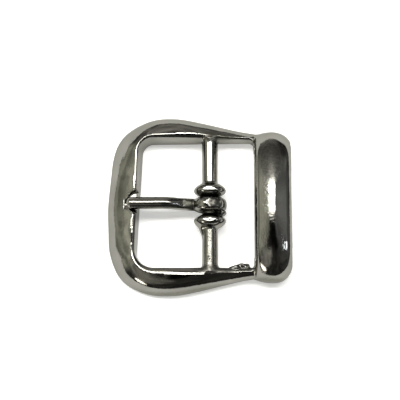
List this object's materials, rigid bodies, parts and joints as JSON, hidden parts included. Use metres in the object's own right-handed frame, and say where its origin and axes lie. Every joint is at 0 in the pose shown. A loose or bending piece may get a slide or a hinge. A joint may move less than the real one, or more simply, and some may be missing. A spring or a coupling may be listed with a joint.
{
  "type": "centre-bar strap buckle",
  "caption": "Cast centre-bar strap buckle with an integral arched keeper loop and a wire tongue that swings on the bar between collars.",
  "frame": {"origin": "middle of the bar on its axis, halfway across the window, where the strap is folded round and the tongue turns", "axes": "+X from the nose towards the keeper, +Y along the bar, +Z out of the face of the buckle, square to its flat back"},
  "size_m": [0.0386, 0.0378, 0.0094],
  "materials": {
    "plated_casting": "polished dark nickel plate over a cast body, with fine specks and soft dents",
    "plated_wire": "polished dark nickel plate over drawn steel wire"
  },
  "bodies": {
    "frame": {"frame": "plated_casting"},
    "tongue": {"tongue": "plated_wire"}
  },
  "joints": [
    {"name": "tongue_hinge", "type": "hinge", "parent": "frame", "child": "tongue", "pos_m": [0, 0, 0], "axis": [0, 1, 0], "range_deg": [0, 132]}
  ]
}
